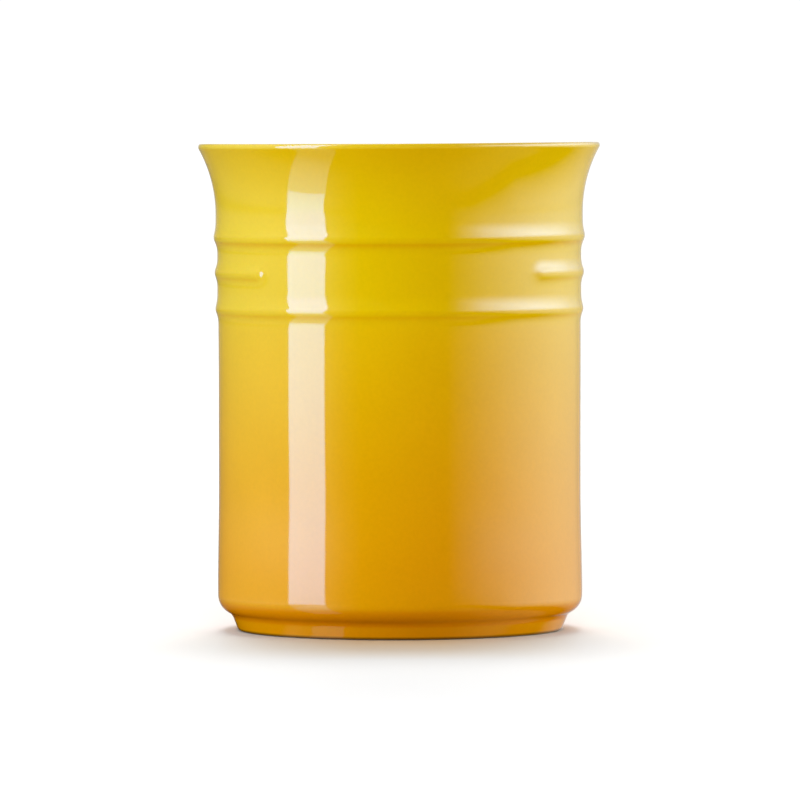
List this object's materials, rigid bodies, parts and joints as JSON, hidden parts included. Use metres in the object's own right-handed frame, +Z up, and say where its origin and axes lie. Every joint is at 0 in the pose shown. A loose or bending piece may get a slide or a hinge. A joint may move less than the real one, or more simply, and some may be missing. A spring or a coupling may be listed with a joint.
{
  "type": "utensil crock",
  "caption": "Round glazed stoneware crock with a flared lip, raised ridges round its upper wall and a turned foot, for holding kitchen utensils upright.",
  "frame": {"origin": "centre of the foot ring, on the plane that the crock stands on", "axes": "+Z up along the crock's axis, -Y towards the front, where the middle ridge is left plain"},
  "size_m": [0.1234, 0.1234, 0.15],
  "materials": {
    "fired_clay": "bare fired stoneware, matt",
    "outer_glaze": "gloss, shading from yellow at the lip to orange at the foot",
    "inner_glaze": "gloss yellow",
    "base_glaze": "gloss orange"
  },
  "bodies": {
    "root": {"stoneware_body": "fired_clay", "outer_glaze": "outer_glaze", "inner_glaze": "inner_glaze", "base_glaze": "base_glaze"}
  },
  "joints": []
}
